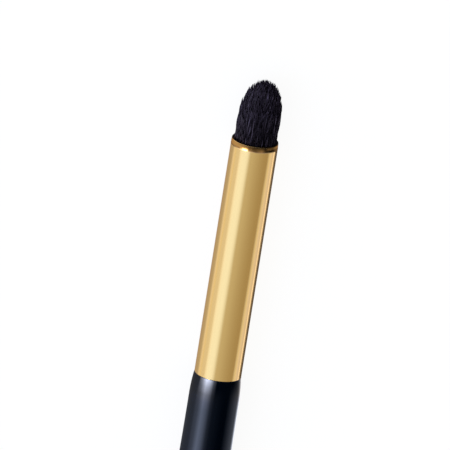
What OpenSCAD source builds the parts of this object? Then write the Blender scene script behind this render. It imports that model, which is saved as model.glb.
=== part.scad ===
// Eyeshadow brush: a domed tuft of black hair in a long gold ferrule, on a black lacquered
// handle. It lies on its side on a table with the tuft towards +X. The origin is on the
// table, under the middle of the brush's length.
//
// Every piece is drawn upright first. Its z = 0 is the hem of the ferrule, where the metal
// meets the lacquer, and the tuft points up. lay_down() then puts it on its side.

/* [Ferrule] */
// Outside diameter of the tube
ferrule_d = 7; // [6:0.1:8]
// Length of the tube from its hem to its mouth
ferrule_len = 36.8; // [32:0.1:50]
// Wall of the tube
ferrule_wall = 0.3; // [0.3:0.05:0.5]
// Height of the bevelled lip round the mouth
lip_h = 0.62; // [0.4:0.01:1]
// How far the lip closes in below the rim
lip_in = 0.11; // [0.05:0.01:0.13]
// Rounding of the rim at the top of the lip
rim_round = 0.08; // [0.04:0.01:0.09]
// Rounding of the hem's outer edge
hem_round = 0.12; // [0.05:0.01:0.2]

/* [Tuft] */
// Length of the hair outside the mouth
hair_len = 9.5; // [8:0.1:14]
// Height of the dome that the hair tips form
dome_h = 5.6; // [3:0.1:7.5]
// How far the top of the dome leans towards -Y
dome_lean = 0.28; // [0:0.01:0.5]
// Rings of strands: six times the square of this is the number of strands
strand_rings = 9; // [8:1:9]
// Depth below the mouth at which the strands part
parting_depth = 1; // [0.5:0.1:2]
// Shortfall of the shortest strand tips from the dome
tip_scatter = 0.3; // [0:0.05:0.5]
// Gap between the hair and the tube
hair_gap = 0.06; // [0.03:0.01:0.12]

/* [Hair roots, binding and resin] */
// Length of the bundled roots below the parting
root_len = 12; // [9:0.5:15]
// Thickness of the binding thread
thread_d = 0.25; // [0.15:0.05:0.3]
// Turns of thread in the binding
thread_turns = 8; // [4:1:10]
// Distance of the binding from the end of the roots
binding_up = 3; // [2:0.1:4]
// How far the binding draws the roots in
binding_squeeze = 0.45; // [0.35:0.05:0.7]
// Height that the resin climbs round the roots
resin_climb = 8; // [7.5:0.1:8.5]
// Thickness of the resin under the end of the roots
resin_floor = 2.5; // [1:0.1:4]

/* [Handle] */
// Length of the handle outside the ferrule
handle_len = 113.8; // [90:0.1:150]
// How far the shoulder stands over the ferrule
shoulder_rise = 0.23; // [0.1:0.01:0.4]
// Length over which the shoulder rises
shoulder_len = 2.9; // [1.5:0.1:5]
// Diameter at the handle's widest place
belly_d = 8; // [7.6:0.1:10]
// Distance from the hem to the widest place
belly_at = 32; // [20:1:45]
// Diameter where the tail starts to round off
tail_d = 4.4; // [3:0.1:6]
// Length of the tail's rounded end
tail_round = 2.6; // [1.5:0.1:4]

/* [Tenon and its glue] */
// Empty length of tube between the tenon and the resin
air_gap = 6.3; // [3:0.1:8]
// Thickness of the glue round the tenon
glue_t = 0.1; // [0.05:0.01:0.15]
// Glue grooves round the tenon
groove_count = 3; // [1:1:4]
// Width of a glue groove
groove_w = 0.8; // [0.4:0.1:1.2]
// Depth of a glue groove
groove_depth = 0.2; // [0.1:0.05:0.4]
// Bevel at the tenon's leading end
tenon_bevel = 0.5; // [0.2:0.1:1]

/* [Hidden] */

// Colours of the materials
HAIR = "#1c1a22";
THREAD = "#d8cdb4";
RESIN = "#c9a24a";
GOLD = "#d9b35f";
GLUE = "#e6dcc2";
LACQUER = "#0b0f18";

// Clearance between pieces that are bonded to each other
bond_gap = 0.01;

// Steps of the round solids, of an arc and of the handle's long curves
round_steps = 96;
arc_steps = 8;
curve_steps = 24;

// Radii that pieces share
ferrule_r = ferrule_d / 2;
bore_r = ferrule_r - ferrule_wall;
hair_r = bore_r - hair_gap;
waist_r = hair_r - binding_squeeze;
thread_r = thread_d / 2;
binding_r = waist_r + bond_gap + thread_d;
glue_r = bore_r - bond_gap;
tenon_r = bore_r - glue_t;

// Heights above the hem, from the tuft down to the tenon
parting_z = ferrule_len - parting_depth;
root_z = parting_z - root_len;
binding_z = root_z + binding_up;
binding_w = thread_turns * thread_d;
resin_z = root_z - resin_floor;
tenon_len = resin_z - air_gap;

// Where the brush lies: the hem's place along X, and the height of the axis
hem_x = (handle_len - ferrule_len - hair_len) / 2;
axis_z = max(belly_d / 2, ferrule_r + shoulder_rise);

// Points of an arc from angle a0 to a1 round a centre [r, z]
function arc(centre, radius, a0, a1, steps = arc_steps) = [
    for (i = [0:steps])
        let (a = a0 + (a1 - a0) * i / steps)
        centre + radius * [cos(a), sin(a)]
];

// A rise from 0 to 1 that starts and ends level, as x goes from 0 to 1
function ease(x) = (1 - cos(180 * x)) / 2;

// Puts an upright piece on its side on the table, with its z along +X
module lay_down() {
    translate([hem_x, 0, axis_z])
        rotate([0, 90, 0])
            children();
}

// Turns a half outline of [r, z] points round the brush's axis
module turned(outline) {
    lay_down()
        rotate_extrude($fn = round_steps)
            polygon(outline);
}

// ---- The tuft ----
// The strands stand on a triangular lattice laid out in rings, each a triangle that
// fills its cell at the parting and thins upwards, so that none can cross another.

// Share of its length at which a strand has each of its two rings of points
strand_level_shares = [0.5, 0.85];
// Share of its cell that a strand fills at those rings
strand_width_shares = [0.86, 0.62];
// Share of its radius that a strand bends inwards by its tip
strand_bend_share = 0.08;
// First number of the scatter's series
scatter_seed = 17;

strand_corners = 3;
strand_points = 2 * strand_corners + 1;
edge_points = 6 * strand_rings;

// Lattice node j of ring k, as a share of the hair's radius
function node_share(k, j) =
    k == 0 ? [0, 0] : k / strand_rings * [cos(60 * j / k), sin(60 * j / k)];

// Place of that node in the list of points
function node_index(k, j) = k == 0 ? 0 : 1 + 3 * k * (k - 1) + j % (6 * k);

// Every cell as three [ring, number] nodes, counter-clockwise from above
cells = [
    for (k = [1:strand_rings], side = [0:5], i = [0:k - 1])
        each concat(
            [[[k - 1, side * (k - 1) + i], [k, side * k + i], [k, side * k + i + 1]]],
            i == k - 1 ? [] :
                [[[k - 1, side * (k - 1) + i], [k, side * k + i + 1], [k - 1, side * (k - 1) + i + 1]]]
        )
];

tip_shortfalls = rands(0, tip_scatter, len(cells), scatter_seed);

// Sideways place of the dome's lean at a height above the parting
function lean(z) = [0, -dome_lean * pow(z / (parting_depth + hair_len), 2)];

// The seven points of one strand: two rings of three, and the tip
function strand(cell, shortfall) =
    let (
        corners = [for (n = cell) node_share(n[0], n[1])],
        middle = (corners[0] + corners[1] + corners[2]) / strand_corners,
        tip_share = norm(middle) * (1 - strand_bend_share),
        full = parting_depth + hair_len - dome_h + dome_h * sqrt(1 - pow(tip_share, 2)) - shortfall
    )
    concat(
        [for (level = [0, 1], corner = corners)
            let (
                up = strand_level_shares[level],
                bent = middle * (1 - strand_bend_share * pow(up, 2)),
                place = hair_r * (bent + (corner - middle) * strand_width_shares[level])
                    + lean(up * full)
            )
            [place[0], place[1], parting_z + up * full]],
        [let (place = hair_r * middle * (1 - strand_bend_share) + lean(full))
            [place[0], place[1], parting_z + full]]
    );

// Radius and height of the root bundle's rings, from under the parting to its end.
// The bundle narrows to its waist over a height of the squeeze, above and below the binding.
root_rings = [
    [hair_r, binding_z + binding_w + binding_squeeze],
    [waist_r, binding_z + binding_w],
    [waist_r, binding_z],
    [hair_r, binding_z - binding_squeeze],
    [hair_r, root_z]
];

module hair_tuft() {
    node_points = concat([[0, 0]], [
        for (k = [1:strand_rings], j = [0:6 * k - 1]) hair_r * node_share(k, j)
    ]);
    first_strand = len(node_points);
    first_root = first_strand + len(cells) * strand_points;
    points = concat(
        [for (p = node_points) [p[0], p[1], parting_z]],
        [for (i = [0:len(cells) - 1]) each strand(cells[i], tip_shortfalls[i])],
        [for (ring = root_rings, j = [0:edge_points - 1])
            let (a = 360 * j / edge_points)
            [ring[0] * cos(a), ring[0] * sin(a), ring[1]]]
    );
    strand_faces = [
        for (i = [0:len(cells) - 1])
            let (
                base = [for (n = cells[i]) node_index(n[0], n[1])],
                lower = first_strand + i * strand_points,
                upper = lower + strand_corners,
                tip = upper + strand_corners
            )
            for (c = [0:strand_corners - 1])
                let (d = (c + 1) % strand_corners)
                each [
                    [base[c], lower + c, lower + d],
                    [base[c], lower + d, base[d]],
                    [lower + c, upper + c, upper + d],
                    [lower + c, upper + d, lower + d],
                    [upper + c, tip, upper + d]
                ]
    ];
    root_faces = [
        for (level = [0:len(root_rings) - 1], j = [0:edge_points - 1])
            let (
                next = (j + 1) % edge_points,
                above = level == 0 ? node_index(strand_rings, 0) : first_root + (level - 1) * edge_points,
                below = first_root + level * edge_points
            )
            each [
                [above + j, above + next, below + next],
                [above + j, below + next, below + j]
            ]
    ];
    last_ring = first_root + (len(root_rings) - 1) * edge_points;
    end_faces = [
        for (j = [1:edge_points - 2]) [last_ring, last_ring + j, last_ring + j + 1]
    ];
    color(HAIR)
        lay_down()
            polyhedron(points, concat(strand_faces, root_faces, end_faces));
}

// Thread wound round the waist of the roots, drawn as one band with a round for each turn
module root_binding() {
    color(THREAD)
        turned(concat(
            [[waist_r + bond_gap, binding_z], [waist_r + bond_gap + thread_r, binding_z]],
            [for (turn = [0:thread_turns - 1])
                each arc([binding_r - thread_r, binding_z + (turn + 0.5) * thread_d], thread_r, -90, 90)],
            [[waist_r + bond_gap, binding_z + binding_w]]
        ));
}

// Cast resin that grips the roots and bonds them to the tube, with a floor under their end
module root_resin() {
    bed_r = hair_r + bond_gap;
    neck_r = waist_r + 2 * bond_gap;
    band_r = binding_r + bond_gap;
    binding_top = binding_z + binding_w;
    color(RESIN)
        turned([
            [0, resin_z],
            [glue_r, resin_z],
            [glue_r, root_z + resin_climb],
            [bed_r, root_z + resin_climb],
            [bed_r, binding_top + binding_squeeze],
            [neck_r, binding_top + bond_gap],
            [band_r, binding_top + bond_gap],
            [band_r, binding_z - bond_gap],
            [neck_r, binding_z - bond_gap],
            [bed_r, binding_z - binding_squeeze],
            [bed_r, root_z - bond_gap],
            [0, root_z - bond_gap]
        ]);
}

// ---- The ferrule ----
// A plain tube with a rounded hem, a bevelled lip and a rounded rim

module ferrule() {
    lip_r = ferrule_r - lip_in;
    rim_r = min(rim_round, (lip_r - bore_r) / 2);
    rim_turn = atan(lip_in / (lip_h - rim_r));
    color(GOLD)
        turned(concat(
            [[bore_r, 0]],
            arc([ferrule_r - hem_round, hem_round], hem_round, -90, 0),
            [[ferrule_r, ferrule_len - lip_h]],
            arc([lip_r - rim_r, ferrule_len - rim_r], rim_r, rim_turn, 90),
            arc([bore_r + rim_r, ferrule_len - rim_r], rim_r, 90, 180)
        ));
}

// ---- The handle ----
// Turned wood: a long lacquered grip, and a bare grooved tenon that is glued into the tube

// Middle height of glue groove i, spread evenly along the tenon
function groove_z(i) = tenon_len * (i + 1) / (groove_count + 1);

// Radius of the grip at a distance below the hem, before its tail rounds off
function grip_r(down) =
    let (
        neck = ferrule_r + shoulder_rise,
        belly = belly_d / 2,
        tail = tail_d / 2,
        taper_len = handle_len - tail_round - belly_at
    )
    down < shoulder_len ? neck - shoulder_rise * pow(1 - down / shoulder_len, 2) :
    down < belly_at ? neck + (belly - neck) * ease((down - shoulder_len) / (belly_at - shoulder_len)) :
    belly + (tail - belly) * ease((down - belly_at) / taper_len);

module handle() {
    // Distances below the hem: close together on the short shoulder, wider on the long curves
    shoulder_steps = [for (i = [0:arc_steps]) shoulder_len * i / arc_steps];
    belly_steps = [
        for (i = [1:curve_steps]) shoulder_len + (belly_at - shoulder_len) * i / curve_steps
    ];
    taper_steps = [
        for (i = [1:curve_steps])
            belly_at + (handle_len - tail_round - belly_at) * i / curve_steps
    ];
    tail_angle = 90 / arc_steps;
    color(LACQUER)
        turned(concat(
            [[0, tenon_len], [tenon_r - tenon_bevel, tenon_len], [tenon_r, tenon_len - tenon_bevel]],
            [for (i = [groove_count - 1:-1:0])
                each [
                    [tenon_r, groove_z(i) + groove_w / 2],
                    [tenon_r - groove_depth, groove_z(i) + groove_w / 2],
                    [tenon_r - groove_depth, groove_z(i) - groove_w / 2],
                    [tenon_r, groove_z(i) - groove_w / 2]
                ]],
            [[tenon_r, 0]],
            [for (down = concat(shoulder_steps, belly_steps, taper_steps)) [grip_r(down), -down]],
            [for (i = [1:arc_steps - 1])
                [tail_d / 2 * cos(i * tail_angle),
                    tail_round - handle_len - tail_round * sin(i * tail_angle)]],
            [[0, -handle_len]]
        ));
}

// Film of glue between the tenon and the tube, keyed into the tenon's grooves
module tenon_glue() {
    film_r = tenon_r + bond_gap;
    key_r = film_r - groove_depth;
    key_w = groove_w - 2 * bond_gap;
    color(GLUE)
        turned(concat(
            [[film_r, bond_gap], [glue_r, bond_gap], [glue_r, tenon_len - tenon_bevel],
                [film_r, tenon_len - tenon_bevel]],
            [for (i = [groove_count - 1:-1:0])
                each [
                    [film_r, groove_z(i) + key_w / 2],
                    [key_r, groove_z(i) + key_w / 2],
                    [key_r, groove_z(i) - key_w / 2],
                    [film_r, groove_z(i) - key_w / 2]
                ]]
        ));
}

hair_tuft();
root_binding();
root_resin();
ferrule();
tenon_glue();
handle();
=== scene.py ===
"""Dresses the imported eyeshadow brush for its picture: a tuft of separate dyed filaments, the
gold-plated ferrule, the lacquered handle, the bonding pieces that they hide, and the studio.

The brush lies along X with its tuft towards +X, and the table is at z = 0. Every piece is worked
out along the brush's own axis, as a distance from the ferrule's hem and a radius."""

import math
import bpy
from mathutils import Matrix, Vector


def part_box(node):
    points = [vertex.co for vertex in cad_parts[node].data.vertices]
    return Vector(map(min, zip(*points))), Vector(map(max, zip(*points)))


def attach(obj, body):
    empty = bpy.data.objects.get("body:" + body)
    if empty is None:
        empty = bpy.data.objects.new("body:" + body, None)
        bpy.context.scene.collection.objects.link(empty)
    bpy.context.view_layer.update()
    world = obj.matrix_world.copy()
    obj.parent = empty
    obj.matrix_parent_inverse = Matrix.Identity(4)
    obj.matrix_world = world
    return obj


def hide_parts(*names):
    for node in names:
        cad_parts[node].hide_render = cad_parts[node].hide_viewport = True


bl_info = {
    "name": "Eyeshadow Brush",
    "version": (1, 0, 0),
    "blender": (4, 5, 0),
    "location": "3D View > Sidebar > Brush",
    "description": "Makes the hair, ferrule, handle and studio of a domed eyeshadow brush",
    "category": "Add Mesh",
}

import bpy
import numpy as np
from bpy.props import FloatProperty, FloatVectorProperty, IntProperty, PointerProperty
from mathutils import Matrix, Vector

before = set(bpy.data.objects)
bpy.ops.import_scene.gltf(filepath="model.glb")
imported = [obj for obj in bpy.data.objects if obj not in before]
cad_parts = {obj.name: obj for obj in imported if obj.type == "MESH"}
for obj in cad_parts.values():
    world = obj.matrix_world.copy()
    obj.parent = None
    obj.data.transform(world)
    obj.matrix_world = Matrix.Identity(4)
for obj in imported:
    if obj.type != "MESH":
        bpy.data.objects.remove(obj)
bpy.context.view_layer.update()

MM = 0.001
BODY = "root"

# Where the frame puts the brush: its axis, the ferrule's hem and mouth, and the ends
FERRULE_LOW, FERRULE_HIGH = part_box("ferrule")
TUFT_LOW, TUFT_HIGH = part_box("hair_tuft")
HANDLE_LOW, HANDLE_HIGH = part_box("handle")
AXIS_Y = (FERRULE_LOW.y + FERRULE_HIGH.y) / 2
AXIS_Z = (FERRULE_LOW.z + FERRULE_HIGH.z) / 2
HEM_X = FERRULE_LOW.x
MOUTH = FERRULE_HIGH.x - HEM_X
FERRULE_RADIUS = (FERRULE_HIGH.y - FERRULE_LOW.y) / 2
ROOTS_END = TUFT_LOW.x - HEM_X
TUFT_TOP = TUFT_HIGH.x - HEM_X
TENON_END = HANDLE_HIGH.x - HEM_X
TAIL_END = HEM_X - HANDLE_LOW.x
BELLY_RADIUS = (HANDLE_HIGH.y - HANDLE_LOW.y) / 2

# Powers of the lip's bevel, the dome's shoulders, a hair's taper, a lock's fall to its edge, a
# lock's rise and a hair's tone
LIP_POWER = 1.3
DOME_POWER = 2.3
TAPER_POWER = 0.7
LOCK_FALL_POWER = 1.2
LOCK_RISE_POWER = 7
TONE_POWER = 4

# The angle from each point of a sunflower pattern to the next
GOLDEN_ANGLE = math.pi * (3 - math.sqrt(5))

# The lowest and highest of what differs at random. Waves and twists are in radians a metre, and
# the rest are shares.
HAIR_WAVES = (2200, 3600)
HAIR_WAVE_SIZES = (0.3, 1)
HAIR_TWISTS = (400, 1800)
TONE_WAVES = (500, 900)
LOCK_WAVES = (1200, 2600)
LOCK_PULLS = (0.6, 1)

# Shares of a hair's length at which its rings lie, if it shows all along and if it doesn't
MANY_LEVELS = np.linspace(0, 0.93, 12)
FEW_LEVELS = np.array([0, 0.35, 0.62, 0.85])

# How far cards stay over the floor, and the share of its length that an open one gains at an end
FLOOR_GAP = 0.05 * MM
CARD_OVERLAP = 0.04

# Light of the room's walls, of its ceiling on the picture's right and left, and of its window,
# in linear red, green, blue and alpha, where 1 is white
WALL_LIGHT = (0.95, 1, 1.18, 1)
CEILING_LIGHTS = ((0.48, 0.43, 0.34, 1), (0.7, 0.72, 0.73, 1))
WINDOW_LIGHT = (0.68, 1, 1.9, 1)

# The gloss cards: glowing sheets that only gloss sees, laid where the brush mirrors the camera's
# rays, which paint reflections, highlights and dark edges on the handle, ferrule, lip and tuft.
# Each has the distance from the hem that its rows count from, whether it goes all round, its glow
# profiles and its rows. A glow profile is a list of places across the brush, from -1 at its left
# edge to 1 at its right, each with a level, where 1 is white. A row has its distance and the
# radius of its circle in mm, its tint, and how strongly it shows each glow profile.
CARDS = {
    # Painted reflection on the handle: a dark sleeve with a painted highlight strip, brighter towards
    # the hem, and lighter edges
    "handle_sleeve": (
        0, True,
        {
            "sides": ((-1, 0.12), (-0.92, 0.2), (-0.76, 0.4), (-0.67, 0.6), (-0.45, 0), (0.7, 0),
                      (0.85, 0.14), (0.93, 0.42), (1, 1.7)),
            "strip": ((-0.7, 0), (-0.56, 0.28), (-0.4, 1), (-0.25, 0.66), (-0.1, 0.09), (0.03, 0)),
            "middle": ((-0.2, 0), (-0.1, 0.15), (0.15, 0.08), (0.4, 0)),
            "right": ((0.57, 0), (0.7, 0.8), (0.76, 1), (0.85, 1.1), (0.92, 0)),
        },
        (
            (-130, 8, (0.95, 1, 1.14), {"sides": 1, "strip": 3.4, "middle": 1, "right": 0.3}),
            (-5, 8, (0.95, 1, 1.14), {"sides": 1, "strip": 3.4, "middle": 1, "right": 0.3}),
            (-3.6, 7, (1, 1, 1.14), {"sides": 1, "strip": 4.1, "middle": 1, "right": 0.3}),
            (-2.4, 5.5, (1.05, 1, 1), {"sides": 1, "strip": 6.2, "middle": 0.8, "right": 0.25}),
            (-1.2, 4.4, (1.05, 1, 1), {"sides": 1, "strip": 14, "right": 0.07}),
            (-0.5, 3.9, (1.05, 1, 1), {"sides": 1, "strip": 22}),
            (-0.07, 3.66, (1.05, 1, 1), {"sides": 1, "strip": 30}),
        ),
    ),
    # Painted reflection of shaded floor, darkening the ferrule's left edge
    "left_card": (
        0, False,
        {
            "grey": ((-0.995, 0.51), (-0.92, 0.61), (-0.88, 0.61), (-0.84, 0.7), (-0.81, 1),
                     (-0.76, 1.1)),
        },
        ((0.02, 60, (0.98, 1, 1.2), {"grey": 1}), (35.9, 60, (0.98, 1, 1.2), {"grey": 1})),
    ),
    # Painted reflection of shaded floor, darkening the ferrule's right edge, with a bright band inside
    # it
    "right_card": (
        0, False,
        {
            "grey": ((0.743, 1), (0.79, 1), (0.84, 0.85), (0.87, 1.4), (0.89, 1.5), (0.907, 0.4),
                     (0.95, 0.13), (0.995, 0.1)),
        },
        ((0.02, 60, (0.97, 1, 1.36), {"grey": 1}), (35.9, 60, (0.97, 1, 1.36), {"grey": 1})),
    ),
    # Painted reflection round the lip and the tuft: the window's painted glint on the lip, a dark brim
    # at the rim, and a painted sheen on the tuft's left side
    "mouth_sleeve": (
        MOUTH, True,
        {
            "room": ((-1, 0.2), (-0.85, 0.2), (-0.6, 1.7), (-0.3, 1.6), (-0.1, 1), (0.1, 0.52),
                     (0.8, 0.55), (0.9, 0.2), (1, 0)),
            "left": ((-1, 0.8), (-0.85, 1), (-0.6, 1), (-0.43, 0.8), (-0.3, 0.7), (-0.22, 0.35),
                     (-0.1, 0.2), (0.1, 0.1), (0.5, 0.03), (0.8, 0)),
            "window": ((-0.6, 0), (-0.5, 0.2), (-0.43, 1), (-0.3, 0.9), (-0.22, 0.05), (0.1, 0)),
            "middle": ((0, 0), (0.35, 1), (0.5, 0.1), (0.65, 0)),
            "corner": ((0.82, 0), (0.92, 0.8), (1, 1)),
            "edge": ((0.5, 0), (0.62, 0.27), (0.8, 0.24), (0.9, 0.7), (1, 1)),
            "brim": ((-1, 0.3), (-0.85, 0.6), (-0.6, 0.3), (-0.4, 0.12), (-0.2, 0.02), (0, 0),
                     (0.5, 0), (0.8, 0.05), (0.93, 0.15), (1, 0.05)),
            "foot": ((-0.95, 0), (-0.85, 1), (-0.3, 0.8), (0.1, 0.35), (0.35, 0.07), (0.8, 0)),
            "low": ((-0.95, 0), (-0.85, 1), (-0.6, 0.7), (-0.3, 0.35), (0.1, 0.11), (0.35, 0.03)),
            "high": ((-1, 0.2), (-0.85, 1), (-0.3, 0.65), (0.1, 0.4), (0.5, 0.18), (0.8, 0.1)),
        },
        (
            (-0.85, 4.2, (1, 1, 1.35), {"room": 1, "window": 1}),
            (-0.7, 4.2, (1.25, 1, 1.15), {"left": 0.3, "window": 7, "middle": 0.25, "corner": 0.2}),
            (-0.55, 4.2, (1.25, 1, 0.85), {"left": 0.42, "window": 3, "middle": 0.2, "corner": 0.16}),
            (-0.4, 4.2, (1.25, 1, 0.85), {"left": 0.48, "middle": 0.12, "edge": 0.2}),
            (-0.22, 4.2, (1.25, 1, 0.85), {"left": 0.42, "middle": 0.06, "edge": 0.4}),
            (-0.04, 4.2, (1.25, 1, 0.85), {"brim": 1}),
            (0.45, 4.3, (1, 1, 1.25), {"foot": 1.4}),
            (1, 4.45, (1, 1, 1.2), {"low": 0.95}),
            (13.5, 7, (1, 1, 1.4), {"high": 2.3}),
        ),
    ),
}


def length(name, description, default):
    """A size that a user may change, whose default is given in mm."""
    return FloatProperty(
        name=name, description=description, default=default * MM, min=0, precision=5, unit="LENGTH"
    )


def number(name, description, default):
    """A count that a user may change."""
    return IntProperty(name=name, description=description, default=default, min=1)


def angle(name, description, default):
    """An angle in radians that a user may change."""
    return FloatProperty(name=name, description=description, default=default, subtype="ANGLE")


def share(name, description, default):
    """A share from 0 to 1 that a user may change."""
    return FloatProperty(
        name=name, description=description, default=default, min=0, max=1, subtype="FACTOR"
    )


def linear(hex_code):
    """The linear colour of an sRGB hex code, with an alpha of 1."""
    parts = [int(hex_code[i : i + 2], 16) / 255 for i in (1, 3, 5)]
    shares = [c / 12.92 if c <= 0.04045 else ((c + 0.055) / 1.055) ** 2.4 for c in parts]
    return (*shares, 1.0)


def colour(name, description, hex_code):
    """A colour that a user may change."""
    return FloatVectorProperty(
        name=name, description=description, default=linear(hex_code), size=4, min=0, max=1,
        subtype="COLOR",
    )


class FerruleSettings(bpy.types.PropertyGroup):
    """Sizes and finish of the metal tube."""

    wall: length("Wall", "Thickness of the tube", 0.3)
    lip_height: length("Lip height", "Length over which the lip draws in", 0.8)
    lip_inset: length("Lip inset", "How far the lip draws in below the rim", 0.05)
    rim_round: length("Rim rounding", "Radius of the rim's outer edge", 0.03)
    hem_round: length("Hem rounding", "Radius of the hem's outer edge", 0.005)
    metal: colour("Metal", "Colour of the gold plating", "#E5BF78")


class HandleSettings(bpy.types.PropertyGroup):
    """Sizes and finish of the turned wood."""

    shoulder_rise: length("Shoulder rise", "How far it stands over the ferrule", 0.26)
    shoulder_length: length("Shoulder length", "Length over which it rises", 3.6)
    belly_at: length("Belly", "Distance from the hem to the widest place", 32)
    tail_radius: length("Tail radius", "Radius where the tail starts to round off", 2.2)
    tail_round: length("Tail rounding", "Length of the rounded end", 2.6)
    edge_round: length("Edge rounding", "Radius of the lacquer's edge at the hem", 0.05)
    glue_gap: length("Glue gap", "Thickness of the glue round the tenon", 0.1)
    groove_count: number("Grooves", "Number of glue grooves", 3)
    groove_width: length("Groove width", "Width of a glue groove", 0.8)
    groove_depth: length("Groove depth", "Depth of a glue groove", 0.2)
    tenon_bevel: length("Tenon bevel", "Bevel at the tenon's leading end", 0.5)
    lacquer: colour("Lacquer", "Colour of the lacquer", "#01060F")
    wood: colour("Wood", "Colour of the bare tenon", "#C9A277")


class TuftSettings(bpy.types.PropertyGroup):
    """The filaments of the tuft, how they lie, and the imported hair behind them."""

    tuft_radius: length("Tuft radius", "Radius of the bundle", 3.18)
    dome_height: length("Dome height", "Height of the dome of tips", 6.15)
    dome_lean: length("Dome lean", "How far the top leans towards -Y", 0.27)
    side_step: length("Side step", "How far the bundle stands towards -Y", 0.025)
    trim: length("Trim", "How far the tips reach past the CAD's dome", 0.06)
    tip_scatter: length("Tip scatter", "Largest shortfall of a tip from the dome", 0.08)

    hair_count: number("Hairs", "Number of long hairs", 3400)
    hair_radius: length("Hair radius", "Radius of a hair", 0.057)
    waviness: length("Waviness", "How far a hair strays from its line", 0.028)
    taper_length: length("Taper length", "Length over which a tip tapers", 1.1)
    tip_share: share("Tip share", "Share of its radius that a hair keeps at its tip", 0.5)
    outer_share: share("Outer share", "Share of the radius past which hairs show", 0.84)
    outer_depth: length("Outer depth", "Depth in the mouth from which they start", 1.2)
    inner_length: length("Inner length", "Length of a long hair further in", 2.6)

    lock_count: number("Locks", "Number of locks", 330)
    lock_rise: length("Lock rise", "How far the longest locks pass the dome", 0.33)
    lock_fall: length("Lock fall", "How far a lock's edge stays below its point", 0.4)
    lock_length: length("Lock length", "Length over which tips gather into a lock", 1.8)
    lock_pull: share("Lock pull", "How far tips gather to the middle of a lock", 0.85)
    lock_hold: share("Lock hold", "Share of that gathering along the whole lock", 0.25)
    lock_sway: length("Lock sway", "How far a lock strays from its line", 0.05)
    lock_free: length("Lock free", "Height over the mouth by which it strays so far", 1)

    short_count: number("Short hairs", "Hairs that end on the bundle's side", 3000)
    short_length: length("Short length", "Length of a short hair", 2.6)
    short_start: length("Short start", "Height of the lowest tip over the mouth", 0.2)
    short_scatter: length("Short scatter", "Largest depth of its tip in the side", 0.06)
    short_depth: length("Short depth", "How much deeper its root lies", 0.35)
    slant: angle("Slant", "How far round the bundle a root lies before its tip", 0.13)
    slant_change: angle("Slant change", "How far the sides differ from that", 0.1)
    slant_scatter: angle("Slant scatter", "Usual stray from that", 0.06)

    rim_count: number("Rim hairs", "Broken hairs that spill over the rim", 600)
    rim_margin: length("Rim margin", "Least distance of their tips from its edge", 0.04)
    rim_spread: length("Rim spread", "How widely their tips are spread over it", 0.12)
    rim_height: length("Rim height", "Least height of their tips over it", 0.08)
    rim_rise: length("Rim rise", "How much higher some of them end", 0.1)
    rim_depth: length("Rim depth", "Depth in the mouth from which they start", 0.3)
    rim_root_share: share("Rim root share", "Share of a tip's distance at its root", 0.5)
    # Rim hairs are held darker than the rest: painted shade at the mouth, where the hair meets the rim
    rim_shade_share: share("Rim tone share", "How light they are beside other hairs", 0.3)

    core_depth: length("Core depth", "Depth of the packed hair below the tips", 0.9)
    core_inset: length("Core inset", "Its distance from the bundle's side", 0.3)
    core_neck: length("Core neck", "Depth in the mouth at which it widens", 1)
    core_step: length("Core step", "Length over which it widens and draws in", 0.3)
    root_gap: length("Root gap", "Gap between the packed roots and the tube", 0.06)
    waist: length("Waist", "How far the thread draws the roots in", 0.45)

    dark: colour("Dark hair", "Darkest dye of the filaments", "#040306")
    light: colour("Light hair", "Lightest dye of the filaments", "#60586C")


class StageSettings(bpy.types.PropertyGroup):
    """The camera's place and the size of the floor."""

    tip_tilt: angle("Tip tilt", "How far the tip comes out of the picture", math.radians(19))
    lean: angle("Lean", "Clockwise lean of the brush in the picture", math.radians(9.08))
    picture_width: length("Picture width", "Width of what the picture shows", 66.18)
    aim_along: length("Aim along", "Distance from the hem to the picture's middle", 23)
    aim_aside: length("Aim aside", "Distance of the picture's middle from the axis", 2.41)
    camera_distance: length("Camera distance", "Distance to the picture's middle", 2400)
    floor_radius: length("Floor radius", "Radius of the floor", 12000)


class BrushSettings(bpy.types.PropertyGroup):
    """All the settings of the brush."""

    ferrule: PointerProperty(type=FerruleSettings)
    handle: PointerProperty(type=HandleSettings)
    tuft: PointerProperty(type=TuftSettings)
    stage: PointerProperty(type=StageSettings)


def settings():
    """The brush's settings on the scene."""
    return bpy.context.scene.brush_settings


# Shapes


def arc(centre_x, centre_r, radius, start, end, steps):
    """Points of an arc in the plane of distance and radius: the centre plus the radius times the
    cosine and sine of evenly spaced angles, in degrees, where 0 points to the tip."""
    angles = np.radians(np.linspace(start, end, steps + 1))
    return np.column_stack([centre_x + radius * np.cos(angles), centre_r + radius * np.sin(angles)])


def joined(*stretches):
    """One outline from stretches of points, without the points that repeat the one before."""
    points = np.vstack([np.reshape(s, (-1, 2)) for s in stretches])
    steps = np.linalg.norm(np.diff(points, axis=0), axis=1)
    return points[np.concatenate([[True], steps > 1e-9])]


def mesh_object(name, points, faces, materials):
    """A mesh object at the origin from an array of points and a list of faces."""
    mesh = bpy.data.meshes.new(name)
    mesh.from_pydata(points.tolist(), [], faces)
    for material in materials:
        mesh.materials.append(material)
    made = bpy.data.objects.new(name, mesh)
    bpy.context.scene.collection.objects.link(made)
    return made


def piece(name, points, faces, materials, material_index=None):
    """A mesh object that rides on the brush's one body, smooth but for edges that turn by more
    than 35 degrees."""
    made = mesh_object(name, points, faces, materials)
    mesh = made.data
    if material_index is not None:
        mesh.polygons.foreach_set("material_index", material_index.astype(np.int32))
    mesh.polygons.foreach_set("use_smooth", np.ones(len(mesh.polygons), bool))
    mesh.set_sharp_from_angle(angle=math.radians(35))
    mesh.update()
    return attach(made, BODY)


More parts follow.
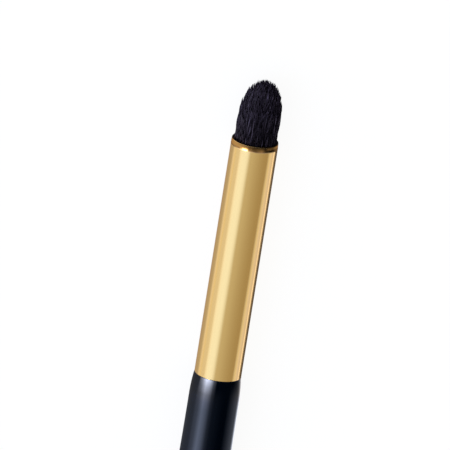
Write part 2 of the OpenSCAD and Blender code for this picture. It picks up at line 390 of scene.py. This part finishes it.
def revolved(name, outline, steps, closed, materials, index_of=None):
    """A surface of revolution about the brush's axis. Point (i, j) is the outline's point i, at
    distance x and radius r, turned by j steps: (x, r cos, r sin). The outline runs from the tip
    to the tail on the outside, so that faces point outwards. An end with no radius is one point
    with a fan of triangles, and a closed outline joins its last point to its first. index_of
    gives each face's material from the distance of its ring nearer the tail."""
    count = len(outline)
    turn = 2 * np.pi * np.arange(steps) / steps
    x = np.repeat(outline[:, :1], steps, axis=1)
    y = outline[:, 1:] * np.cos(turn)
    z = outline[:, 1:] * np.sin(turn)
    points = np.stack([HEM_X + x, AXIS_Y + y, AXIS_Z + z], axis=-1).reshape(-1, 3)
    index = np.arange(count * steps).reshape(count, steps)
    at_axis = outline[:, 1] == 0
    index[at_axis] = index[at_axis][:, :1]
    used, rings = np.unique(index, return_inverse=True)
    rings = rings.reshape(count, steps)
    if closed:
        rings = np.vstack([rings, rings[:1]])
    near, far = rings[:-1], rings[1:]
    quads = np.stack([near, far, np.roll(far, -1, 1), np.roll(near, -1, 1)], axis=-1)
    faces = [tuple(dict.fromkeys(q)) for q in quads.reshape(-1, 4).tolist()]
    far_x = np.roll(outline[:, 0], -1)[: len(far)]
    chosen = None if index_of is None else np.repeat(index_of(far_x), steps)
    return piece(name, points[used], faces, materials, chosen)


def ferrule_radius(along, s):
    """Outer radius of the tube at a distance from the hem. The lip draws in by a power of the
    height gained, so that it starts with a soft edge and goes on as a bevel."""
    climb = (along - (MOUTH - s.lip_height)) / (s.lip_height - s.rim_round)
    return FERRULE_RADIUS - s.lip_inset * np.clip(climb, 0, 1) ** LIP_POWER


def ferrule_outline(s):
    """The tube's wall, once round: over the rim's edge, down the lip and the outside, round the
    hem, back up the bore and out along the flat rim. The edges are arcs."""
    bore = FERRULE_RADIUS - s.wall
    rim_x = MOUTH - s.rim_round
    rim_r = FERRULE_RADIUS - s.lip_inset - s.rim_round
    lip_x = MOUTH - s.lip_height
    lip_turn = math.degrees(math.atan(LIP_POWER * s.lip_inset / (rim_x - lip_x)))
    lip = np.linspace(rim_x, lip_x, 33)
    barrel = np.linspace(lip_x, s.hem_round, 121)
    inside = np.linspace(0, MOUTH, 41)
    return joined(
        arc(rim_x, rim_r, s.rim_round, 0, 90 - lip_turn, 9),
        np.column_stack([lip, ferrule_radius(lip, s)]),
        np.column_stack([barrel, np.full(len(barrel), FERRULE_RADIUS)]),
        arc(s.hem_round, FERRULE_RADIUS - s.hem_round, s.hem_round, 90, 180, 10),
        np.column_stack([inside, np.full(len(inside), bore)]),
    )


def ease(t):
    """A rise from 0 to 1 that starts and ends level, as t goes from 0 to 1."""
    return (1 - np.cos(np.pi * t)) / 2


def grip_radius(down, s):
    """Radius of the handle at a distance below the hem: a parabola over the shoulder, an eased
    rise to the belly, and an eased taper to the tail."""
    neck = FERRULE_RADIUS + s.shoulder_rise
    taper = TAIL_END - s.tail_round - s.belly_at
    shoulder = neck - s.shoulder_rise * (1 - down / s.shoulder_length) ** 2
    rise_share = (down - s.shoulder_length) / (s.belly_at - s.shoulder_length)
    swell = neck + (BELLY_RADIUS - neck) * ease(rise_share)
    tail = BELLY_RADIUS + (s.tail_radius - BELLY_RADIUS) * ease((down - s.belly_at) / taper)
    return np.where(down < s.shoulder_length, shoulder, np.where(down < s.belly_at, swell, tail))


def outer_radius(along):
    """Radius of the brush's outside at a distance from the hem: grip, tube or bundle."""
    grip = grip_radius(-along, settings().handle)
    tube = ferrule_radius(along, settings().ferrule)
    return np.where(along < 0, grip, np.where(along < MOUTH, tube, settings().tuft.tuft_radius))


def handle_outline(s):
    """The handle from the tenon's leading end, over its glue grooves and the lacquer's rounded
    edge, and down the grip to the rounded tail."""
    tenon = FERRULE_RADIUS - settings().ferrule.wall - s.glue_gap
    middles = TENON_END * np.arange(s.groove_count, 0, -1) / (s.groove_count + 1)
    half = s.groove_width / 2
    grooves = [
        [[m + half, tenon], [m + half, tenon - s.groove_depth],
         [m - half, tenon - s.groove_depth], [m - half, tenon]]
        for m in middles
    ]
    tail_x = TAIL_END - s.tail_round
    down = np.concatenate([
        np.linspace(s.edge_round, s.shoulder_length, 25),
        np.linspace(s.shoulder_length, s.belly_at, 61),
        np.linspace(s.belly_at, tail_x, 121),
    ])
    turn = np.radians(np.linspace(0, 90, 25))[1:]
    tail = np.column_stack([-tail_x - s.tail_round * np.sin(turn), s.tail_radius * np.cos(turn)])
    tail[-1, 1] = 0
    return joined(
        [[TENON_END, 0], [TENON_END, tenon - s.tenon_bevel], [TENON_END - s.tenon_bevel, tenon]],
        *grooves,
        [[0, tenon]],
        arc(-s.edge_round, FERRULE_RADIUS - s.edge_round, s.edge_round, 0, 90, 5),
        np.column_stack([-down, grip_radius(down, s)]),
        tail,
    )


def dome_top(share_out, s):
    """Distance of the dome's surface from the hem at a share of the tuft's radius. The dome is
    an ellipse with full shoulders: its height share to the dome's power is 1 less the radius
    share squared."""
    rise = np.clip(1 - share_out**2, 0, 1) ** (1 / DOME_POWER)
    return TUFT_TOP + s.trim - s.dome_height * (1 - rise)


def lean_at(distance, s):
    """Sideways place of the bundle at a distance from the hem: a step, and a lean that grows by
    the square above the mouth."""
    up = np.clip((distance - MOUTH) / (TUFT_TOP - MOUTH), 0, None)
    return -s.side_step - s.dome_lean * up**2


def round_axis(radius, turn):
    """Places round the brush's axis: radius times the turn's cosine and sine."""
    return np.column_stack([radius * np.cos(turn), radius * np.sin(turn)])


def sunflower(count, radius, rng, jitter):
    """Points spread evenly over a disc: point i lies at the golden angle times i, at a radius
    that grows by the square root of i, and is moved at random by a share of the spacing."""
    i = np.arange(count) + 0.5
    spots = round_axis(radius * np.sqrt(i / count), i * GOLDEN_ANGLE)
    spacing = radius * np.sqrt(np.pi / count)
    return spots + rng.uniform(-jitter, jitter, spots.shape) * spacing


def held_in(spots, limit):
    """The spots, with those past the limit moved in to it, and how far out each then is."""
    out = np.linalg.norm(spots, axis=1)
    spots = spots * np.minimum(1, limit / np.maximum(out, 1e-9))[:, None]
    return spots, np.linalg.norm(spots, axis=1)


def long_hairs(s, limit, rng):
    """Hairs that end on the dome. They stand on a sunflower pattern and belong to the nearest
    lock. A tip moves towards the lock's middle and ends on the dome, less a random shortfall
    and a fall towards the lock's edge, plus the lock's own rise. Returns the root spots, how far
    out they are, the tip spots, the locks' waves and the tops."""
    spots = sunflower(s.hair_count, s.tuft_radius - s.hair_radius, rng, jitter=0.35)
    spots, out = held_in(spots, limit)
    locks = sunflower(s.lock_count, s.tuft_radius, rng, jitter=0.45)
    apart = np.linalg.norm(spots[:, None, :] - locks[None, :, :], axis=-1)
    lock = np.argmin(apart, axis=1)
    lock_size = s.tuft_radius / np.sqrt(s.lock_count)
    edge = np.clip(apart.min(axis=1) / lock_size, 0, 1.3)
    pull = s.lock_pull * rng.uniform(*LOCK_PULLS, s.lock_count)[lock][:, None]
    lock_waves = np.column_stack([
        rng.uniform(0, 2 * np.pi, (s.lock_count, 2)), rng.uniform(*LOCK_WAVES, (s.lock_count, 2))
    ])[lock]
    tip_spots, tip_out = held_in(spots + pull * (locks[lock] - spots), limit)
    fall = s.tip_scatter * rng.uniform(0, 1, len(spots)) + s.lock_fall * edge**LOCK_FALL_POWER
    rise = s.lock_rise * rng.uniform(0, 1, s.lock_count)[lock] ** LOCK_RISE_POWER
    return spots, out, tip_spots, lock_waves, dome_top(tip_out / s.tuft_radius, s) - fall + rise


def short_hairs(s, limit, rng):
    """Hairs that end on the bundle's side. Tip i stands at the golden angle times i and at a
    random height. Its root stands deeper in the bundle and a little round it, most of all on
    the picture's right. Returns the root spots, tip spots, bottoms and tops."""
    turn = np.arange(s.short_count) * GOLDEN_ANGLE
    out = limit - rng.uniform(0, s.short_scatter, s.short_count)
    slant = s.slant - s.slant_change * np.cos(turn)
    root_turn = turn - slant + rng.normal(0, s.slant_scatter, s.short_count)
    roots = round_axis(out - s.short_depth, root_turn)
    side = dome_top(out / s.tuft_radius, s) - MOUTH
    top = MOUTH + s.short_start + side * rng.uniform(0, 1, s.short_count)
    return roots, round_axis(out, turn), top - s.short_length, top


def rim_hairs(s, rng):
    """Broken hairs that splay out of the mouth and end over the flat rim. Tip i stands at the
    golden angle times i, over the rim's width, and its root nearer the axis. Returns the root
    spots, tip spots, bottoms and tops."""
    edge = FERRULE_RADIUS - settings().ferrule.lip_inset
    out = edge - s.rim_margin - rng.uniform(0, s.rim_spread, s.rim_count)
    tips = round_axis(out, np.arange(s.rim_count) * GOLDEN_ANGLE)
    top = MOUTH + s.rim_height + rng.uniform(0, s.rim_rise, s.rim_count)
    return s.rim_root_share * tips, tips, np.full(s.rim_count, MOUTH - s.rim_depth), top


def hair_tone(count, rng):
    """How light each hair is: a power of an even spread, so that few are light."""
    return rng.uniform(0, 1, count) ** TONE_POWER


def hair_tubes(spots, tip_spots, lock_waves, bottom, top, tone, levels, s, rng):
    """Three-sided tapered tubes, one for each hair. Ring k lies at a share t of the way from
    bottom to top, at spot + (tip spot - spot) g + the lock's wave + its own, where g grows by
    the square over the lock's length below the tip. The triangle turns on its way up, so that
    the hair glints in stretches, and its tone comes and goes by the square of a sine. Returns
    points in rings with the tip last, their tones, and the faces of one hair."""
    count = len(spots)
    phase = rng.uniform(0, 2 * np.pi, (count, 2))
    sway = s.waviness * rng.uniform(*HAIR_WAVE_SIZES, (count, 2))
    waves = rng.uniform(*HAIR_WAVES, (count, 2))
    first_turn = rng.uniform(0, 2 * np.pi, (count, 1))
    twist = rng.choice([-1, 1], (count, 1)) * rng.uniform(*HAIR_TWISTS, (count, 1))
    tone_start = rng.uniform(0, np.pi, count)
    tone_waves = rng.uniform(*TONE_WAVES, count)
    corner = 2 * np.pi * np.arange(3) / 3
    rings, tones = [], []
    for t in np.append(levels, 1):
        along = bottom + (top - bottom) * t
        below = top - along
        gather = np.clip(1 - below / s.lock_length, 0, 1)[:, None] ** 2
        place = spots + (tip_spots - spots) * (s.lock_hold + (1 - s.lock_hold) * gather)
        up = (along - MOUTH)[:, None]
        free = s.lock_sway * np.clip(up / s.lock_free, 0, 1)
        place = place + free * np.sin(lock_waves[:, :2] + lock_waves[:, 2:] * up)
        place = place + sway * np.sin(phase + waves * up)
        place[:, 0] += lean_at(along, s)
        taper = np.clip(below / s.taper_length, 0, 1)[:, None] ** TAPER_POWER
        thick = s.hair_radius * (s.tip_share + (1 - s.tip_share) * taper)
        turn = first_turn + twist * along[:, None] + corner
        ring = np.empty((count, 3, 3))
        ring[..., 0] = along[:, None]
        ring[..., 1] = place[:, :1] + thick * np.cos(turn)
        ring[..., 2] = place[:, 1:] + thick * np.sin(turn)
        rings.append(ring if t < 1 else ring.mean(axis=1, keepdims=True))
        here = tone * np.sin(tone_start + tone_waves * along) ** 2
        tones.append(np.repeat(here[:, None], rings[-1].shape[1], axis=1))
    side = np.arange(3 * len(levels))
    after = np.where(side % 3 == 2, side - 2, side + 1)
    quads = np.column_stack([side, after, after + 3, side + 3])[:-3]
    tip = np.column_stack([side, after, np.full(len(side), len(side))])[-3:]
    triangles = np.vstack([tip, [[2, 1, 0]]])
    return np.concatenate(rings, axis=1), np.concatenate(tones, axis=1), quads, triangles


def hair_arrays(s, rng):
    """Every hair of the tuft. Long hairs near the side start inside the ferrule, and those
    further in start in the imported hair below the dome. Returns points, faces and tones."""
    limit = s.tuft_radius - s.hair_radius - s.waviness
    spots, out, tip_spots, lock_waves, top = long_hairs(s, limit, rng)
    tone = hair_tone(s.hair_count, rng)
    outer = out > s.outer_share * s.tuft_radius
    bottom = np.where(outer, MOUTH - s.outer_depth, top - s.inner_length)
    groups = [
        (spots[own], tip_spots[own], lock_waves[own], bottom[own], top[own], tone[own], levels)
        for own, levels in ((outer, MANY_LEVELS), (~outer, FEW_LEVELS))
    ]
    # The rim hairs' tone is scaled down: painted shade at the mouth
    others = ((short_hairs(s, limit, rng), 1), (rim_hairs(s, rng), s.rim_shade_share))
    for (roots, tips, bottom, top), tone_share in others:
        tone = tone_share * hair_tone(len(roots), rng)
        groups.append((roots, tips, np.zeros((len(roots), 4)), bottom, top, tone, FEW_LEVELS))
    points, faces, tones = [], [], []
    made = 0
    for group in groups:
        hairs, hair_tones, quads, triangles = hair_tubes(*group, s, rng)
        count, per_hair = hairs.shape[:2]
        first = made + (np.arange(count) * per_hair)[:, None, None]
        points.append(hairs.reshape(-1, 3))
        faces += (first + quads).reshape(-1, 4).tolist()
        faces += (first + triangles).reshape(-1, 3).tolist()
        tones.append(hair_tones.ravel())
        made += count * per_hair
    return np.vstack(points) + np.array([HEM_X, AXIS_Y, AXIS_Z]), faces, np.concatenate(tones)


def core_outline(s):
    """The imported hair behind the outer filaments, as one solid: a dome just under the tips, the
    straight bundle, and the roots inside the ferrule with the waist that the thread draws in."""
    radius = s.tuft_radius - s.core_inset
    roots = FERRULE_RADIUS - settings().ferrule.wall - s.root_gap
    neck = MOUTH - s.core_neck
    out = np.sin(np.radians(np.linspace(0, 90, 25)))
    dome = np.column_stack([dome_top(out, s) - s.core_depth, radius * out])
    binding_low, binding_high = (c.x - HEM_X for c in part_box("root_binding"))
    return joined(
        dome,
        [[neck, radius], [neck - s.core_step, roots], [binding_high + s.waist, roots],
         [binding_high, roots - s.waist], [binding_low, roots - s.waist],
         [binding_low - s.waist, roots], [ROOTS_END, roots], [ROOTS_END, 0]],
    )


# Materials


def add_node(tree, kind, inputs=(), **options):
    """Adds a node, sets its options, and sets or links its inputs, given as (socket, value)."""
    made = tree.nodes.new(kind)
    for name, value in options.items():
        setattr(made, name, value)
    for socket, value in inputs:
        if isinstance(value, bpy.types.NodeSocket):
            tree.links.new(value, made.inputs[socket])
        else:
            made.inputs[socket].default_value = value
    return made


def empty_tree(owner):
    """The node tree of a material or a world, without nodes."""
    owner.use_nodes = True
    owner.node_tree.nodes.clear()
    return owner.node_tree


def new_material(name, **constants):
    """A material with one Principled shader, whose plain values are given by their names with
    underscores for spaces. Returns the material, its node tree and the shader."""
    material = bpy.data.materials.new(name)
    tree = empty_tree(material)
    values = [(key.replace("_", " "), value) for key, value in constants.items()]
    shader = add_node(tree, "ShaderNodeBsdfPrincipled", values)
    add_node(tree, "ShaderNodeOutputMaterial", [("Surface", shader.outputs[0])])
    return material, tree, shader


def fine_pattern(tree, size, detail, stretch):
    """Noise on Object coordinates with cells of a size in metres, which are longer along an axis
    whose stretch is below 1."""
    place = add_node(tree, "ShaderNodeTexCoord").outputs["Object"]
    mapped = add_node(tree, "ShaderNodeMapping", [("Vector", place), ("Scale", stretch)])
    values = [("Vector", mapped.outputs[0]), ("Scale", 1 / size), ("Detail", detail)]
    return add_node(tree, "ShaderNodeTexNoise", values).outputs[0]


def glossy(name, size, stretch, roughness, bump, **constants):
    """A material whose fine pattern changes its gloss between two values of roughness, and
    stands out as faintly as bump's strength and height say."""
    material, tree, shader = new_material(name, **constants)
    pattern = fine_pattern(tree, size, 2, stretch)
    rough = add_node(
        tree, "ShaderNodeMapRange",
        [("Value", pattern), ("From Min", 0.3), ("From Max", 0.7), ("To Min", roughness[0]),
         ("To Max", roughness[1])],
    )
    relief = add_node(
        tree, "ShaderNodeBump", [("Strength", bump[0]), ("Distance", bump[1]), ("Height", pattern)]
    )
    tree.links.new(rough.outputs[0], shader.inputs["Roughness"])
    tree.links.new(relief.outputs[0], shader.inputs["Normal"])
    return material


def two_tone(name, tones, size, detail, stretch=(1, 1, 1), spread=(0, 1), depth=1, **constants):
    """A material whose fine pattern takes its colour from the first tone towards the second. It
    starts at the pattern's lower value of spread, and has gone the share depth at the higher."""
    material, tree, shader = new_material(name, **constants)
    change = add_node(
        tree, "ShaderNodeMapRange",
        [("Value", fine_pattern(tree, size, detail, stretch)), ("From Min", spread[0]),
         ("From Max", spread[1]), ("To Max", depth)],
    )
    shade = add_node(
        tree, "ShaderNodeMix",
        [("Factor", change.outputs[0]), ("A", tones[0]), ("B", tones[1])], data_type="RGBA",
    )
    tree.links.new(shade.outputs["Result"], shader.inputs["Base Color"])
    return material


def gold_plated_brass(s):
    """Drawn brass tube, polished and flash-plated with gold. It mirrors the room softly, and
    the polish leaves faint lines along the tube, 0.15 mm apart."""
    return glossy(
        "gold_plated_brass", 0.15 * MM, (0.02, 1, 1), (0.1, 0.17), (0.02, 0.01 * MM),
        Base_Color=tuple(s.metal), Metallic=1.0, Specular_Tint=linear("#FFE9CC"),
    )


def black_lacquer(s):
    """Sprayed and buffed nitrocellulose lacquer with blue-black pigment. Its gloss is a little
    soft, and spraying leaves a faint orange peel with cells about 1.2 mm wide."""
    return glossy(
        "black_lacquer", 1.2 * MM, (1, 1, 1), (0.12, 0.16), (0.04, 0.02 * MM),
        Base_Color=tuple(s.lacquer), IOR=1.5, Specular_Tint=linear("#DDE8FF"),
    )


def bare_beech(s):
    """Turned beech, unfinished where it is glued: pale, matt, with grain along the handle."""
    return two_tone(
        "bare_beech", (tuple(s.wood), linear("#A67C50")), 0.5 * MM, 4, (0.06, 1, 1),
        (0.35, 0.65), Roughness=0.7,
    )


def dyed_filament(s):
    """Extruded filament, dyed blue-black in the mass and crimped like hair. The dye is lighter
    in stretches along each one, and its drawn surface gives a soft sheen."""
    material, tree, shader = new_material(
        "dyed_filament", Roughness=0.38, IOR=1.43, Specular_Tint=linear("#F4E0FA")
    )
    tone = add_node(tree, "ShaderNodeAttribute", attribute_name="hair_tone")
    shade = add_node(
        tree, "ShaderNodeMix",
        [("Factor", tone.outputs["Fac"]), ("A", tuple(s.dark)), ("B", tuple(s.light))],
        data_type="RGBA",
    )
    tree.links.new(shade.outputs["Result"], shader.inputs["Base Color"])
    return material


def packed_hair(s):
    """The same filament packed side by side: matt and darker, with streaks along the bundle."""
    return two_tone(
        "packed_hair", (tuple(s.dark), tuple(s.light)), 0.12 * MM, 2, (0.04, 1, 1),
        (0.35, 0.65), 0.35, Roughness=0.8,
    )


def cast_epoxy():
    """Poured amber epoxy, glossy, with cloudy patches about 1 mm wide where it cured."""
    tones = (linear("#B98A35"), linear("#D8B465"))
    return two_tone("cast_epoxy", tones, 1 * MM, 3, Roughness=0.2, IOR=1.55)


def waxed_thread():
    """Waxed linen thread, matt, with fibres twisted at about 0.08 mm."""
    tones = (linear("#B8A986"), linear("#E6DCC4"))
    return two_tone("waxed_thread", tones, 0.08 * MM, 2, (1, 0.3, 0.3), Roughness=0.65)


def cured_wood_glue():
    """Dried wood glue, cream and half matt, with a skin that wrinkles at about 0.6 mm."""
    tones = (linear("#D9CDAC"), linear("#EFE6CD"))
    return two_tone("cured_wood_glue", tones, 0.6 * MM, 2, Roughness=0.45)


# Operators


class BRUSH_OT_ferrule(bpy.types.Operator):
    """Makes the metal tube with its drawn-in lip and rounded hem"""

    bl_idname = "brush.make_ferrule"
    bl_label = "Make ferrule"

    def execute(self, context):
        s = settings().ferrule
        made = revolved("ferrule_tube", ferrule_outline(s), 256, True, [gold_plated_brass(s)])
        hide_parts("ferrule")
        return {"FINISHED"}


class BRUSH_OT_handle(bpy.types.Operator):
    """Makes the turned handle with its lacquered grip and bare tenon"""

    bl_idname = "brush.make_handle"
    bl_label = "Make handle"

    def execute(self, context):
        s = settings().handle
        made = revolved(
            "lacquered_handle", handle_outline(s), 192, False, [black_lacquer(s), bare_beech(s)],
            lambda far: np.where(far >= 0, 1, 0),
        )
        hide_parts("handle")
        return {"FINISHED"}


class BRUSH_OT_tuft(bpy.types.Operator):
    """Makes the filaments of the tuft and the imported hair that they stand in"""

    bl_idname = "brush.make_tuft"
    bl_label = "Make tuft"

    def execute(self, context):
        s = settings().tuft
        points, faces, tones = hair_arrays(s, np.random.default_rng(11))
        hairs = piece("tuft_hairs", points, faces, [dyed_filament(s)])
        attribute = hairs.data.attributes.new("hair_tone", "FLOAT", "POINT")
        attribute.data.foreach_set("value", tones.astype(np.float32))
        core = revolved("packed_roots", core_outline(s), 96, False, [packed_hair(s)])
        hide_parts("hair_tuft")
        return {"FINISHED"}


class BRUSH_OT_fillings(bpy.types.Operator):
    """Finishes the thread, resin and glue that the ferrule hides"""

    bl_idname = "brush.finish_fillings"
    bl_label = "Finish fillings"

    def execute(self, context):
        finishes = {
            "root_binding": waxed_thread(),
            "root_resin": cast_epoxy(),
            "tenon_glue": cured_wood_glue(),
        }
        for node, material in finishes.items():
            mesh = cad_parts[node].data
            mesh.materials.clear()
            mesh.materials.append(material)
        return {"FINISHED"}


def make_camera(s):
    """A long lens that looks down on the brush along its local -Z, with the tip towards it by
    the tilt. Its local Y is up in the picture, where the brush points up and leans clockwise."""
    axis = Vector((1, 0, 0))
    back = Vector((math.sin(s.tip_tilt), 0, math.cos(s.tip_tilt)))
    shown = (axis - back * axis.dot(back)).normalized()
    up = Matrix.Rotation(s.lean, 3, back) @ shown
    data = bpy.data.cameras.new("picture_camera")
    data.sensor_width = 36
    data.lens = data.sensor_width * s.camera_distance / s.picture_width
    data.clip_end = 4 * s.camera_distance
    camera = bpy.data.objects.new("picture_camera", data)
    bpy.context.scene.collection.objects.link(camera)
    target = Vector((HEM_X + s.aim_along, AXIS_Y + s.aim_aside, AXIS_Z))
    turned = Matrix((up.cross(back), up, back)).transposed().to_4x4()
    camera.matrix_world = Matrix.Translation(target + back * s.camera_distance) @ turned
    bpy.context.scene.camera = camera


def white_paper():
    """Seamless white paper. To the camera, gloss and glass it is mostly white of its own, and
    the rest is the paper as the room lights it, which keeps the brush's shadow."""
    material = bpy.data.materials.new("white_paper")
    tree = empty_tree(material)
    path = add_node(tree, "ShaderNodeLightPath")
    seen = path.outputs["Is Camera Ray"]
    for ray in ("Is Transmission Ray", "Is Glossy Ray"):
        seen = add_node(
            tree, "ShaderNodeMath", [(0, seen), (1, path.outputs[ray])], operation="MAXIMUM"
        ).outputs[0]
    shade = add_node(
        tree, "ShaderNodeMix",
        [("Factor", seen), ("A", linear("#F4F4F4")), ("B", linear("#656565"))],
        data_type="RGBA",
    )
    matt = add_node(tree, "ShaderNodeBsdfDiffuse", [("Color", shade.outputs["Result"])])
    glow = add_node(tree, "ShaderNodeMath", [(0, seen), (1, 0.91)], operation="MULTIPLY")
    white = add_node(tree, "ShaderNodeEmission", [("Strength", glow.outputs[0])])
    both = add_node(tree, "ShaderNodeAddShader", [(0, matt.outputs[0]), (1, white.outputs[0])])
    add_node(tree, "ShaderNodeOutputMaterial", [("Surface", both.outputs[0])])
    return material


def make_floor(s):
    """A disc of paper on the table's plane, as one ring of points round its middle."""
    turn = 2 * np.pi * np.arange(96) / 96
    rim = s.floor_radius * np.column_stack([np.cos(turn), np.sin(turn), np.zeros(96)])
    floor = mesh_object("floor", rim, [tuple(range(96))], [white_paper()])


def make_world():
    """The room round the paper: white at the horizon and up the left wall, grey overhead and
    warmer on the right, and one cool window on the upper left, which fades out to its reach."""
    world = bpy.data.worlds.new("studio")
    bpy.context.scene.world = world
    tree = empty_tree(world)
    place = add_node(tree, "ShaderNodeTexCoord").outputs["Generated"]
    parts = add_node(tree, "ShaderNodeSeparateXYZ", [(0, place)])
    left, height = parts.outputs["Y"], parts.outputs["Z"]
    wall, side = (
        add_node(
            tree, "ShaderNodeMapRange",
            [("Value", left), ("From Min", start), ("From Max", end), ("To Max", top)],
        )
        for start, end, top in ((0.15, 0.7, 0.42), (-0.95, 0, 1))
    )
    over = add_node(tree, "ShaderNodeMath", [(0, height), (1, wall.outputs[0])], operation="SUBTRACT")
    white = add_node(
        tree, "ShaderNodeMapRange",
        [("Value", over.outputs[0]), ("From Max", 0.2), ("To Min", 1), ("To Max", 0)],
    )
    ceiling = add_node(
        tree, "ShaderNodeMix",
        [("Factor", side.outputs[0]), ("A", CEILING_LIGHTS[0]), ("B", CEILING_LIGHTS[1])],
        data_type="RGBA",
    )
    shade = add_node(
        tree, "ShaderNodeMix",
        [("Factor", white.outputs[0]), ("A", ceiling.outputs["Result"]), ("B", WALL_LIGHT)],
        data_type="RGBA",
    )
    room = add_node(tree, "ShaderNodeBackground", [("Color", shade.outputs["Result"])])
    aside, back, reach = (math.radians(a) for a in (40, 13, 31.5))
    middle = (-math.sin(back), math.cos(back) * math.sin(aside), math.cos(back) * math.cos(aside))
    near = add_node(tree, "ShaderNodeVectorMath", [(0, place), (1, middle)], operation="DOT_PRODUCT")
    glow = add_node(
        tree, "ShaderNodeMapRange",
        [("Value", near.outputs["Value"]), ("From Min", math.cos(reach)), ("From Max", 1),
         ("To Max", 0.8)],
        interpolation_type="SMOOTHSTEP",
    )
    window = add_node(
        tree, "ShaderNodeBackground", [("Color", WINDOW_LIGHT), ("Strength", glow.outputs[0])]
    )
    lit = add_node(tree, "ShaderNodeAddShader", [(0, room.outputs[0]), (1, window.outputs[0])])
    add_node(tree, "ShaderNodeOutputWorld", [("Surface", lit.outputs[0])])


def painted_reflection_glow():
    """A glowing card, seen only in gloss, whose radiance attribute paints reflections on the brush."""
    material = bpy.data.materials.new("painted_reflection_glow")
    material.cycles.emission_sampling = "NONE"
    tree = empty_tree(material)
    level = add_node(tree, "ShaderNodeAttribute", attribute_name="radiance")
    shine = add_node(tree, "ShaderNodeEmission", [("Color", level.outputs["Color"])])
    add_node(tree, "ShaderNodeOutputMaterial", [("Surface", shine.outputs[0])])
    return material


def mirrored_places(along, room, side, tip_tilt):
    """Where the brush's surface mirrors the camera's rays. side holds angles round the brush
    from straight up to the picture's right. The normal there is the side's direction, tilted
    towards the tip by the slope of the radius, and the ray leaves at twice its product with the
    camera's direction, less that direction. It ends on a circle round the axis, or a little
    above the floor."""
    step = 0.01 * MM
    radius = outer_radius(along)
    tilt = math.atan((outer_radius(along - step) - outer_radius(along + step)) / (2 * step))
    axis = np.array([1, 0, 0])
    outward = np.column_stack([np.zeros(len(side)), -np.sin(side), np.cos(side)])
    normal = math.cos(tilt) * outward + math.sin(tilt) * axis
    back = np.array([math.sin(tip_tilt), 0, math.cos(tip_tilt)])
    ray = 2 * (normal @ back)[:, None] * normal - back
    start = radius * outward + along * axis
    across = (ray[:, 1:] ** 2).sum(axis=1)
    out = (ray[:, 1:] * start[:, 1:]).sum(axis=1)
    path = (np.sqrt(out**2 + across * (room**2 - radius**2)) - out) / across
    drop = start[:, 2] + AXIS_Z - FLOOR_GAP
    path = np.where(ray[:, 2] < 0, np.minimum(path, drop / np.maximum(-ray[:, 2], 1e-6)), path)
    return start + ray * path[:, None] + np.array([HEM_X, AXIS_Y, AXIS_Z])


def make_card(name, start, closed, glow_profiles, rows, material, tip_tilt):
    """A curved glowing card that only gloss sees, which paints reflections on the brush. Each row lies
    where the ring of surface at its distance mirrors the camera's rays. A closed card joins its last
    column to its first under the brush. An open one reaches a little past its end rows, so that its
    ends don't blur on the metal."""
    count = 121
    left = min(paper[0][0] for paper in glow_profiles.values())
    right = max(paper[-1][0] for paper in glow_profiles.values())
    side = np.linspace(math.asin(left), math.asin(right), count)
    points = [mirrored_places(start + along * MM, room * MM, side, tip_tilt) for along, room, *_ in rows]
    if not closed:
        past = CARD_OVERLAP * (points[1] - points[0])
        points = [points[0] - past, points[1] + past]
    # Each row's painted reflection, summed from its glow profiles and tinted
    levels = [
        sum(
            strength * np.interp(np.sin(side), *np.transpose(glow_profiles[paper]))
            for paper, strength in strengths.items()
        )[:, None] * np.array(tint)
        for *_, tint, strengths in rows
    ]
    column = np.arange(count if closed else count - 1)
    first = count * np.arange(len(rows) - 1)[:, None]
    near, after = (first + column).ravel(), (first + (column + 1) % count).ravel()
    faces = np.column_stack([near, after, after + count, near + count])
    card = mesh_object(name, np.vstack(points), faces.tolist(), [material])
    colours = np.ones((len(rows) * count, 4))
    colours[:, :3] = np.vstack(levels)
    attribute = card.data.attributes.new("radiance", "FLOAT_COLOR", "POINT")
    attribute.data.foreach_set("color", colours.astype(np.float32).ravel())
    # Seen only in gloss: the card paints reflections and lights nothing
    for kind in ("camera", "diffuse", "transmission", "volume_scatter", "shadow"):
        setattr(card, "visible_" + kind, False)


def make_cards(s):
    """The glowing cards that paint the gloss: a dark sleeve with a painted highlight strip round the
    handle, grey painted reflections of shaded floor beside the ferrule, and a dark sleeve with the
    window's painted glint round the lip and the tuft."""
    shine = painted_reflection_glow()
    for name, card in CARDS.items():
        make_card(name, *card, shine, s.tip_tilt)


class BRUSH_OT_stage(bpy.types.Operator):
    """Makes the camera, the white paper, the room and the gloss cards that paint reflections"""

    bl_idname = "brush.make_stage"
    bl_label = "Make stage"

    def execute(self, context):
        s = settings().stage
        make_camera(s)
        make_floor(s)
        make_world()
        make_cards(s)
        context.scene.view_settings.view_transform = "Standard"
        return {"FINISHED"}


class BRUSH_PT_panel(bpy.types.Panel):
    """Lists the operators in the order in which they are used"""

    bl_label = "Eyeshadow Brush"
    bl_idname = "BRUSH_PT_panel"
    bl_space_type = "VIEW_3D"
    bl_region_type = "UI"
    bl_category = "Brush"

    def draw(self, context):
        for operator in MAKERS:
            self.layout.operator(operator.bl_idname)


MAKERS = (BRUSH_OT_stage, BRUSH_OT_handle, BRUSH_OT_ferrule, BRUSH_OT_tuft, BRUSH_OT_fillings)
CLASSES = (
    FerruleSettings, HandleSettings, TuftSettings, StageSettings, BrushSettings, *MAKERS,
    BRUSH_PT_panel,
)


def register():
    """Registers the classes and puts the settings on the scene."""
    for item in CLASSES:
        bpy.utils.register_class(item)
    bpy.types.Scene.brush_settings = PointerProperty(type=BrushSettings)


def unregister():
    """Takes the settings off the scene and unregisters the classes."""
    del bpy.types.Scene.brush_settings
    for item in reversed(CLASSES):
        bpy.utils.unregister_class(item)


def main():
    """Makes the whole picture."""
    register()
    bpy.ops.brush.make_stage()
    bpy.ops.brush.make_handle()
    bpy.ops.brush.make_ferrule()
    bpy.ops.brush.make_tuft()
    bpy.ops.brush.finish_fillings()


if __name__ == "__main__":
    main()
